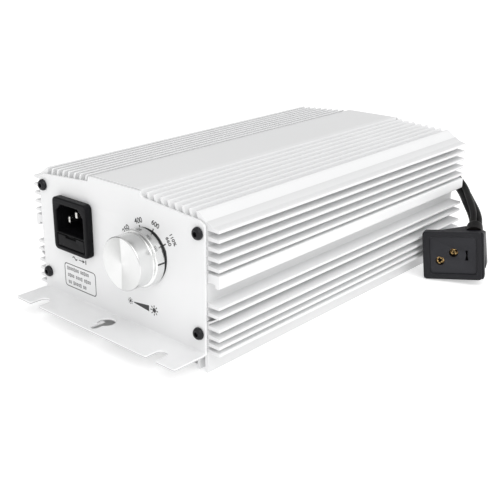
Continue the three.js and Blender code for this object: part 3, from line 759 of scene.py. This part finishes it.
def add_inlet():
    half = 12.2
    slope = 4.4
    cavity = rounded([
        (INLET_X - half, CAVITY_LOW, 0.8), (INLET_X + half, CAVITY_LOW, 0.8),
        (INLET_X + half, CAVITY_TOP - slope, 0.8), (INLET_X + half - slope, CAVITY_TOP, 0.8),
        (INLET_X - half + slope, CAVITY_TOP, 0.8), (INLET_X - half, CAVITY_TOP - slope, 0.8),
    ], 3)
    bay = rectangle(INLET_X - 12.4, INLET_X + 12.4, BAY_LOW, BAY_TOP, 0.4, 2)
    seat = -PLATE_FRONT - GAP
    outline = rectangle(INLET_X - 15.7, INLET_X + 15.7, INLET_Z - 16.3, INLET_Z + 16.3, 3.6, 6)
    bezel = prism(outline, [cavity, bay], BEZEL_FRONT, seat, along_y, (0.75, 0.2))
    piece("inlet_bezel", bezel, BLACK_PLASTIC, nodes=["inlet_body"])
    barrel = rectangle(INLET_X - 13.5, INLET_X + 13.5, INLET_Z - 14.6, INLET_Z + 14.6, 0.5, 2)
    piece("inlet_barrel", prism(barrel, [cavity, bay], seat, CAVITY_BACK, along_y), BLACK_PLASTIC)
    slots = []
    for name in ("line", "neutral", "earth"):
        node_name = f"inlet_pin_{name}"
        x, z = middle(node_name, 0), middle(node_name, 2)
        slots.append(rectangle(x - 1.3, x + 1.3, z - 2.3, z + 2.3, 0.2, 1))
        blade = rectangle(x - 1, x + 1, z - 2, z + 2, 0.35, 3)
        front = low(node_name, 1)
        pin = prism(blade, [], front, high(node_name, 1), along_y, (0.6, 0.1))
        piece(f"{node_name}_blade", pin, NICKEL, nodes=[node_name])
    back = prism(barrel, [bay] + slots, CAVITY_BACK, CAVITY_BACK + 5, along_y)
    piece("inlet_rear_wall", back, BLACK_PLASTIC)


def add_fuse_drawer():
    x0, x1 = low("fuse_drawer", 0), high("fuse_drawer", 0)
    y0, y1 = low("fuse_drawer", 1), high("fuse_drawer", 1)
    z0, z1 = low("fuse_drawer", 2), high("fuse_drawer", 2)
    front = prism(rectangle(x0, x1, z0, z1, 0.5, 3), [], y0, y1, along_y, (0.4, 0.3))
    tray = piece("fuse_tray", front, BLACK_PLASTIC, body="fuse_tray",
                 nodes=["fuse_drawer"])
    radius = 2.9
    cutters = []
    for name in ("spare_fuse", "fuse"):
        y = middle(name, 1)
        bay = rectangle(INLET_X - 10.4, INLET_X + 10.4, y - radius, y + radius, 0.4, 2)
        cutters.append(prism(bay, [], z0 + 1.2, z1 + 1, up_z))
    grip = rectangle(INLET_X - 5, INLET_X + 5, z1 - 1.6, z1 + 1, 0.4, 2)
    cutters.append(prism(grip, [], y0 - 1, y0 + 1.2, along_y))
    carve(tray, *cutters)
    for name in ("spare_fuse", "fuse"):
        y, z = middle(name, 1), middle(name, 2)

        def place(u, v, w):
            return (INLET_X + w, y + u, z + v)

        outer = [(0, 10), (2.3, 10), (2.6, 9.7), (2.6, 5.3), (2.55, 5.05), (2.36, 5), (2.36, 8.8), (0, 8.8)]
        caps = []
        for side in (-1, 1):
            caps.append(lathe([(r, side * w) for r, w in outer], place, 32))
        piece(f"{name}_caps", combine(*caps), NICKEL, body="fuse_tray")
        tube = lathe([(2.3, -8.7), (2.3, 8.7), (1.8, 8.7), (1.8, -8.7)], place, 32, closed=True)
        piece(f"{name}_tube", tube, GLASS, body="fuse_tray", nodes=[name])
        wire = lathe([(0, -8.7), (0.15, -8.6), (0.15, 8.6), (0, 8.7)], place, 8)
        piece(f"{name}_link", wire, STEEL, body="fuse_tray")


# ---- dimmer ----
KNOB_FRONT = low("dimmer_knob", 1)
KNOB_BACK = high("dimmer_knob", 1)


def on_knob(u, v, w):
    return (KNOB_X + u, w, KNOB_Z + v)


def add_knob():
    back, front = KNOB_BACK, KNOB_FRONT
    profile = [
        (0, front + 3.2), (3.3, front + 3.2), (3.3, back - 6), (9, back - 6), (9, back - 0.2), (9.2, back),
        (15.9, back), (16.2, back - 0.15), (16.3, back - 0.45), (16.3, back - 5.3), (16.2, back - 5.65),
        (15.9, back - 5.9), (15.4, back - 6.02), (14.7, back - 6.15), (14.28, back - 6.5),
        (14.2, back - 7.1), (14.35, back - 7.35), (14.85, back - 7.45), (15, back - 7.7),
        (15, front + 0.7), (14.95, front + 0.45), (14.7, front + 0.15), (14.45, front + 0.02),
        (14.2, front), (13.9, front + 0.08), (9, front + 0.24), (5, front + 0.34), (0, front + 0.4),
    ]
    knob = piece("spun_knob", lathe(profile, on_knob, 144), SPUN, body="dimmer",
                 nodes=["dimmer_knob"], angle=28)
    hole_y = back - 9.6

    def downwards(u, v, w):
        return (KNOB_X + u, hole_y + v, KNOB_Z + w)

    carve(knob, lathe([(0, -18), (1.8, -18), (1.8, -2), (0, -2)], downwards, 24))
    first, last = math.radians(1.5) - 0.028, math.radians(1.5) + 0.028
    sunk, proud = 16.2, 16.36
    corners = ((first, sunk), (first, proud), (last, proud), (last, sunk))
    mark = [(radius * math.cos(angle), radius * math.sin(angle)) for angle, radius in corners]
    piece("knob_pointer", prism(mark, [], back - 5.2, back - 0.5, on_knob), INK_AND_PAINTED_SHADOW, body="dimmer")


# ---- print on the front panel, and the painted shadow beside the knob ----
def on_panel(u, v, w):
    return (u, -PLATE_FRONT - w, v)


def panel_mark(name, outline, holes=(), ink=None):
    piece(name, prism(outline, list(holes), -0.02, 0.05, on_panel), ink or INK_AND_PAINTED_SHADOW)


def polar(radius, degrees):
    angle = math.radians(degrees)
    return (KNOB_X + radius * math.cos(angle), KNOB_Z + radius * math.sin(angle))


def stroke(points, width):
    """A closed outline of the given width along a line of points."""
    left, right = [], []
    for i, point in enumerate(points):
        before = Vector(points[max(i - 1, 0)])
        after = Vector(points[min(i + 1, len(points) - 1)])
        along = (after - before).normalized() * (width / 2)
        here = Vector(point)
        left.append(tuple(here + Vector((-along.y, along.x))))
        right.append(tuple(here + Vector((along.y, -along.x))))
    return left + right[::-1]


ARC_AND_SHADOW_OUTER = ((-40, 15.9), (-24, 16.3), (-5, 16.8), (10, 17.4), (23, 17.9), (35, 17.5), (61, 17.3),
             (74, 16.8), (85, 16.4), (108, 15.9))


def arc_and_shadow_radius(degrees):
    """The dial's arc is widest a little below the full setting and thins out both ways; it is print from
    its upper end down to about 33 degrees, and below that a painted shadow beside the knob's skirt.
    """
    for (a0, r0), (a1, r1) in zip(ARC_AND_SHADOW_OUTER, ARC_AND_SHADOW_OUTER[1:]):
        if degrees <= a1:
            return r0 + (r1 - r0) * (degrees - a0) / (a1 - a0)
    return ARC_AND_SHADOW_OUTER[-1][1]


def add_dial():
    inner = 15.5
    angles = [-40 + 148 * k / 74 for k in range(75)]
    outer = [polar(arc_and_shadow_radius(a), a) for a in angles]
    # The arc is print down to about 33 degrees and a painted shadow of the knob's skirt below that, both in
    # the same black.
    panel_mark("dial_arc_and_skirt_shadow", outer + [polar(inner, a) for a in reversed(angles)])
    for i, (degrees, near, far) in enumerate(((145, 16.2, 17.2), (103, 15.9, 17.1), (67, 17.0, 18.5),
                                              (33, 17.0, 19.6))):
        panel_mark(f"dial_tick_{i}", stroke([polar(near, degrees), polar(far, degrees)], 0.75))
    for i, (text, x, z, turn, size) in enumerate((
        ("250", 9.2, 67.6, 45, 4.3), ("400", 19.6, 74.9, 21, 4.3), ("600", 33.0, 75.8, -18, 4.0),
        ("660", 42.7, 68.6, -57, 3.4), ("110%", 46.0, 70.4, -57, 3.2),
    )):
        number(f"dial_number_{i}", text, (x, z), turn, size)


def number(name, text, centre, turn, size):
    curve = bpy.data.curves.new(name, "FONT")
    curve.body = text
    curve.size = size * MM
    curve.align_x = "CENTER"
    curve.align_y = "CENTER"
    curve.extrude = 0.035 * MM
    curve.offset = 0.07 * MM
    holder = bpy.data.objects.new(name, curve)
    bpy.context.scene.collection.objects.link(holder)
    bpy.context.view_layer.update()
    mesh = bpy.data.meshes.new_from_object(holder.evaluated_get(bpy.context.evaluated_depsgraph_get()))
    bpy.data.objects.remove(holder)
    angle = math.radians(turn)
    verts = []
    for vert in mesh.vertices:
        u, v, w = (c / MM for c in vert.co)
        x = centre[0] + u * math.cos(angle) - v * math.sin(angle)
        z = centre[1] + u * math.sin(angle) + v * math.cos(angle)
        verts.append(on_panel(x, z, 0.02 + w))
    faces = [tuple(p.vertices) for p in mesh.polygons]
    piece(name, (verts, faces), INK_AND_PAINTED_SHADOW)


def sun(name, x, z, radius, ray, width):
    """A brightness sign: a disc with eight short rays."""
    panel_mark(f"{name}_disc", circle(x, z, radius, 24))
    for k in range(8):
        angle = math.pi * k / 4
        ends = [(x + r * math.cos(angle), z + r * math.sin(angle)) for r in (radius + 0.45, ray)]
        panel_mark(f"{name}_ray_{k}", stroke(ends, width))


def add_signs():
    sun("dim_sign", 10.6, 25.3, 0.85, 2.0, 0.5)
    sun("bright_sign", 30.1, 25.3, 1.4, 3.0, 0.65)
    panel_mark("level_wedge", [(13.6, 25.0), (26.0, 23.5), (26.0, 27.1), (13.6, 25.6)])
    box = [-49.2, -19.8, 18.1, 33.2]
    line = 0.5
    panel_mark("label_frame", rectangle(*box, 2.6, 6),
            [rectangle(box[0] + line, box[1] - line, box[2] + line, box[3] - line, 2.2, 6)])
    wave = [(-40.6 + 4.2 * k / 24, 37.9 + 0.85 * math.sin(2 * math.pi * k / 24)) for k in range(25)]
    panel_mark("mains_wave", stroke(wave, 0.65))
    panel_mark("input_arrow", [(-34.6, 37.65), (-31.2, 37.65), (-31.2, 36.75), (-29.2, 37.9), (-31.2, 39.05),
                            (-31.2, 38.15), (-34.6, 38.15)])
    panel_mark("input_bar", rectangle(-28.6, -27.9, 36.6, 39.2, 0.1, 1))
    rows = {30.1: (-46.6, (7, 0, 5)), 25.7: (-46.4, (4, 0, 4, 0, 4)), 21.3: (-46.0, (2, 0, 5, 0, 2))}
    for r, (z, (x, words)) in enumerate(rows.items()):
        at = x
        for w, count in enumerate(words):
            for k in range(count):
                tall = 0.95 if (k * 3 + w + r) % 4 else 1.2
                panel_mark(f"label_dash_{r}_{w}_{k}", rectangle(at, at + 1.15, z - tall, z + tall, 0.25, 2),
                        [rectangle(at + 0.36, at + 0.79, z - tall + 0.45, z + tall - 0.45, 0.1, 1)],
                        ink=GREY_INK)
                at += 1.62
            at += 0 if count else 1.3


# ---- lamp lead: gland, cord and socket ----
CORD_DIAMETER = 9.2
CORD_IN_COLLAR = 3.2
CORD_ROUTE = [
    (-24, 138.3, 50), (-24, 148, 50), (-19.7, 162, 50), (-8.5, 173, 49.7), (8, 176.6, 49.3),
    (24, 173.4, 49.3), (38.5, 164.6, 49.5), (51, 153.8, 49.6), (62.5, 143, 49.1), (69.8, 136.3, 48),
    (76.9, 130, 45.9), (86.3, 119, 43.4), (94.8, 109, 40.8), (99.9, 102.1, 38.7), (103.04, 96.71, 36.8),
]


def through(points, steps):
    """A smooth line through the points, closer spaced, by centripetal Catmull-Rom pieces."""
    route = [Vector(p) for p in points]
    route = [2 * route[0] - route[1]] + route + [2 * route[-1] - route[-2]]
    made = []
    for p0, p1, p2, p3 in zip(route, route[1:], route[2:], route[3:]):
        d0, d1, d2 = (math.sqrt((b - a).length) for a, b in ((p0, p1), (p1, p2), (p2, p3)))
        t1 = ((p1 - p0) / d0 - (p2 - p0) / (d0 + d1) + (p2 - p1) / d1) * d1
        t2 = ((p2 - p1) / d1 - (p3 - p1) / (d1 + d2) + (p3 - p2) / d2) * d1
        for k in range(steps):
            t = k / steps
            made.append((2 * t**3 - 3 * t**2 + 1) * p1 + (t**3 - 2 * t**2 + t) * t1
                        + (3 * t**2 - 2 * t**3) * p2 + (t**3 - t**2) * t2)
    made.append(route[-2])
    return made


def lobed_radius(turn):
    """Three round conductors lying together, as one outline about the middle of the bundle."""
    from_middle = 2.4
    core = CORD_DIAMETER / 2 - from_middle
    best = 0
    for k in range(3):
        away = turn - 2 * math.pi * k / 3
        side = from_middle * math.sin(away)
        if abs(side) < core and math.cos(away) > 0:
            best = max(best, from_middle * math.cos(away) + math.sqrt(core**2 - side**2))
    return best


def add_cord():
    """The lead, whose end runs on a little way into the socket's collar."""
    line = through(CORD_ROUTE, 7)
    line.append(line[-1] + (line[-1] - line[-2]).normalized() * CORD_IN_COLLAR)
    sides = 48
    verts = []
    rows = []
    across = Vector((1, 0, 0))
    travelled = 0
    for i, point in enumerate(line):
        along = (line[min(i + 1, len(line) - 1)] - line[max(i - 1, 0)]).normalized()
        across = (across - along * across.dot(along)).normalized()
        upward = along.cross(across)
        travelled += (point - line[max(i - 1, 0)]).length
        twist = math.radians(20 + 0.9 * travelled)
        row = []
        for k in range(sides):
            turn = 2 * math.pi * k / sides
            reach = lobed_radius(turn)
            row.append(len(verts))
            outwards = across * math.cos(turn + twist) + upward * math.sin(turn + twist)
            verts.append(point + reach * outwards)
        rows.append(row)
    faces = [tuple(rows[0][::-1]), tuple(rows[-1])]
    for first, second in zip(rows, rows[1:]):
        for k in range(sides):
            after = (k + 1) % sides
            faces.append((first[k], first[after], second[after], second[k]))
    cord = piece("lamp_lead", (verts, faces), RUBBER, nodes=["output_cord"], angle=60)
    return cord, line


def add_gland():
    def place(u, v, w):
        return (GLAND_X + u, w, GLAND_Z + v)

    seat = PLATE_FRONT + GAP
    profile = [(0, 115), (5.4, 115), (6, 115.6), (6, seat), (9.1, seat), (9.45, seat + 0.3),
               (9.5, seat + 0.7), (9.5, seat + 1.8), (9.3, seat + 2.3), (8.6, seat + 2.6)]
    for k in range(4):
        y = seat + 3 + 2.2 * k
        r = 8.1 - 0.35 * k
        profile += [(r, y), (r + 0.05, y + 0.2), (r, y + 1.2), (r - 0.25, y + 1.4), (r - 1.1, y + 1.5),
                    (r - 1.15, y + 1.9), (r - 0.6, y + 2.05)]
    profile += [(6.7, 137.8), (6.5, 138.4), (6.1, 138.9), (4.9, 138.9), (4.75, 138.6), (4.75, 137),
                (0, 137)]
    piece("cord_strain_relief", lathe(profile, place, 64), GEAR_BLACK,
          nodes=["cord_gland"])


SOCKET_CORNER = Vector((83.97, 69.64, 0.1))
SOCKET_TURN = Matrix.Rotation(math.radians(21), 4, "Z") @ Matrix.Rotation(math.radians(-6.5), 4, "Y")
SOCKET_PLACE = Matrix.Translation(SOCKET_CORNER) @ SOCKET_TURN
CONTACTS = ((10.9, 12.7), (19.7, 18.5))
# Each contact's fingers: how far in each one is bent, as the inner radius at its tip.
FINGERS = ((1.7, 1.2, 1.9, 1.5, 1.8, 1.1), (0.5, 1.4, 0.6, 1.0, 0.5, 1.2))


def on_socket(u, v, w):
    return tuple(SOCKET_PLACE @ Vector((u, w, v)))


def finger(turn, tip, front):
    """A springy finger of a contact: its root is on the sleeve and its tip is bent inwards."""
    half = 0.36
    verts = []
    for inner, outer, w in ((1.65, 2.5, 4.2), (1.6, 2.4, 3.4), (tip, tip + 0.8, front)):
        for radius in (inner, outer):
            for side in (-half, half):
                verts.append((radius * math.cos(turn + side), radius * math.sin(turn + side), w))
    faces = [(0, 1, 3, 2), (8, 10, 11, 9)]
    for k in (0, 4):
        faces += [(k, k + 4, k + 5, k + 1), (k + 1, k + 5, k + 7, k + 3), (k + 3, k + 7, k + 6, k + 2),
                  (k + 2, k + 6, k + 4, k)]
    return verts, faces


def add_socket():
    wide, tall = 37.3, 33
    outline = rectangle(0, wide, 0, tall, 2.2, 6)
    recess = rectangle(4.7, wide - 3.1, 4.2, tall - 3.5, 2.2, 6)
    rim = prism(outline, [recess], 0, 1.5, on_socket, (0.6, 0))
    holes = [circle(x, z, 3, 28) for x, z in CONTACTS]
    holes.append([(27.0, 13.3), (29.1, 13.3), (28.5, 16.8), (28.9, 20.3), (27.2, 20.3), (27.6, 16.8)])
    plate = prism(rectangle(0.02, wide - 0.02, 0.02, tall - 0.02, 2.2, 6), holes, 1, 2.6, on_socket)
    rear = rectangle(0.3, wide + 1.5, 0.2, tall - 0.3, 2.2, 6)
    wider = prism(rear, holes, 1.6, 6.5, on_socket, (0.4, 0.3))
    piece("socket_front", combine(rim, plate, wider), CHARCOAL,
          nodes=["socket_face"])
    hood = rounded([
        (4.5, 3.4, 1.5), (37, 3.4, 0.8), (39.3, 7, 0.8), (38.5, 28.8, 1.2), (36.6, 29.7, 1.5),
        (32.2, 31.8, 3), (28.4, 32.4, 3), (25.8, 32.3, 3), (18.7, 31, 5), (8.9, 29.3, 5),
        (4.5, 27.8, 1.5),
    ], 4)
    piece("socket_rear", prism(hood, [], 6.8, 17.5, on_socket, (0.3, 1.2)), CHARCOAL,
          nodes=["socket_back"])
    arrival = Vector((-0.055, 0.939, 0.333)).normalized()
    turn = Vector((0, 0, 1)).rotation_difference(arrival).to_matrix().to_4x4()
    collar_place = SOCKET_PLACE @ Matrix.Translation(Vector((31.8, 12.8, 31.3))) @ turn

    def on_collar(u, v, w):
        return tuple(collar_place @ Vector((u, v, w)))

    profile = [(0, -5.3), (5.7, -5.3), (5.4, -1), (5.2, 1.2), (5.05, 2.4), (4.9, 3), (4.75, 3.2),
               (4.7, 2.2), (0, 2.2)]
    piece("socket_collar", lathe(profile, on_collar, 56), RUBBER)
    contacts = []
    for i, (x, z) in enumerate(CONTACTS):
        def place(u, v, w, x=x, z=z):
            return on_socket(x + u, z + v, w)

        solids = [lathe([(2.55, 4), (2.55, 13), (1.6, 13), (1.6, 4)], place, 40, closed=True)]
        for k, tip in enumerate(FINGERS[i]):
            verts, faces = finger(math.radians(60 * k + 17 * i + 8), tip, 2.3 + 0.25 * (k % 3))
            solids.append(([place(*v) for v in verts], faces))
        name = f"socket_contact_{i + 1}"
        contacts.append(piece(f"{name}_sleeve", combine(*solids), BRASS, nodes=[name]))
    return contacts


# ---- everything ----
cord, cord_line = add_cord()
add_gland()
sleeves = add_socket()
add_case()
add_end_plates()
for screw in [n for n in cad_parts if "_screw_" in n and n != "knob_set_screw"]:
    plate_screw(screw)
add_inlet()
add_fuse_drawer()
add_knob()
add_dial()
add_signs()

CARRIED = {
    "knob_set_screw": BLACK_OXIDE, "switch_shaft": STEEL, "rotary_switch": GEAR_BLACK,
    "switch_washer": STEEL, "switch_nut": STEEL, "insulation_sheet": AMBER, "circuit_board": BOARD,
    "control_board": BOARD, "common_mode_choke": COPPER, "film_capacitor": FILM,
    "mains_relay": GEAR_BLACK, "_core": FERRITE, "_coil": COPPER, "bulk_capacitor": SLEEVE,
    "heat_spreader": ALUMINIUM, "bridge_rectifier": GEAR_BLACK, "power_transistor": GEAR_BLACK,
    "line_wire": WIRES["brown_wire"], "neutral_wire": WIRES["blue_wire"],
    "earth_wire": WIRES["green_wire"], "output_wire_live": WIRES["brown_wire"],
    "output_wire_return": WIRES["blue_wire"], "switch_ribbon": WIRES["ribbon"],
    "gland_nut": GEAR_BLACK,
}
for name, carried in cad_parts.items():
    if carried.hide_render:
        continue
    finish = next(m for key, m in CARRIED.items() if key in name)
    for i in range(len(carried.material_slots)):
        carried.material_slots[i].material = finish

cord_steps = zip(cord_line, cord_line[1:])
cord_length = sum((b - a).length for a, b in cord_steps) * MM
[c * MM for c in CORD_ROUTE[0]]
[[c * MM for c in point] for point in cord_line]


# ---- floor and light ----
def floor_material(name, glow):
    made = material(name, (0.8, 0.8, 0.8), 0.9, vary=0.005, blotch=2, grain=60, bump=0.0, wear=0.0,
                    specular=0)
    shader = made.node_tree.nodes["Principled BSDF"]
    shader.inputs["Emission Color"].default_value = (1, 1, 1, 1)
    shader.inputs["Emission Strength"].default_value = glow
    return made


def add_floor():
    """A pale floor of plain white paper that glows evenly, except for patches without glow under the middle
    of the case and at the keyholes: painted shadow, where the real shadow of the case also falls.
    """
    mesh = bpy.data.meshes.new("floor")
    xs = (-9.0, -0.06, -0.02, 0.02, 0.06, 9.0)
    ys = (-9.0, -0.1348, -0.12, 0.12, 0.1348, 9.0)
    unlit = ((1, 2), (2, 1), (2, 2), (2, 3), (3, 2))
    cells = [(i, j) for j in range(5) for i in range(5)]
    verts = [(x, y, 0) for y in ys for x in xs]
    faces = [(6 * j + i, 6 * j + i + 1, 6 * j + i + 7, 6 * j + i + 6) for i, j in cells]
    mesh.from_pydata(verts, [], faces)
    mesh.materials.append(floor_material("floor", 0.45))
    mesh.materials.append(floor_material("shaded_floor", 0.0))
    for cell in unlit:
        mesh.polygons[cells.index(cell)].material_index = 1
    floor = bpy.data.objects.new("floor", mesh)
    bpy.context.scene.collection.objects.link(floor)


def add_light():
    world = bpy.data.worlds.new("studio")
    bpy.context.scene.world = world
    world.use_nodes = True
    tree = world.node_tree
    coords = node(tree, "ShaderNodeTexCoord")
    toward = node(tree, "ShaderNodeVectorMath", operation="DOT_PRODUCT")
    toward.inputs[1].default_value = Vector((-0.85, 0.35, 0.25)).normalized()
    tree.links.new(coords.outputs["Generated"], toward.inputs[0])
    studio = remap(tree, toward.outputs["Value"], 0.8, 0.45, 0.2, 0.9)
    split = node(tree, "ShaderNodeSeparateXYZ")
    tree.links.new(coords.outputs["Generated"], split.inputs[0])
    horizon = remap(tree, split.outputs["Z"], 1.0, 0.0, 0.0, 0.05)
    brighter = node(tree, "ShaderNodeMath", operation="MAXIMUM")
    tree.links.new(studio, brighter.inputs[0])
    tree.links.new(horizon, brighter.inputs[1])
    tree.links.new(brighter.outputs[0], tree.nodes["Background"].inputs["Strength"])
    tree.nodes["Background"].inputs["Color"].default_value = (1, 1, 1, 1)

    data = bpy.data.lights.new("key", "SUN")
    data.energy = 1.15
    data.angle = math.radians(55)
    light = bpy.data.objects.new("key", data)
    light.rotation_euler = Vector((0.6, -0.25, 0.76)).to_track_quat("Z", "Y").to_euler()
    bpy.context.scene.collection.objects.link(light)


add_floor()
add_light()
bpy.context.scene.view_settings.view_transform = "Standard"
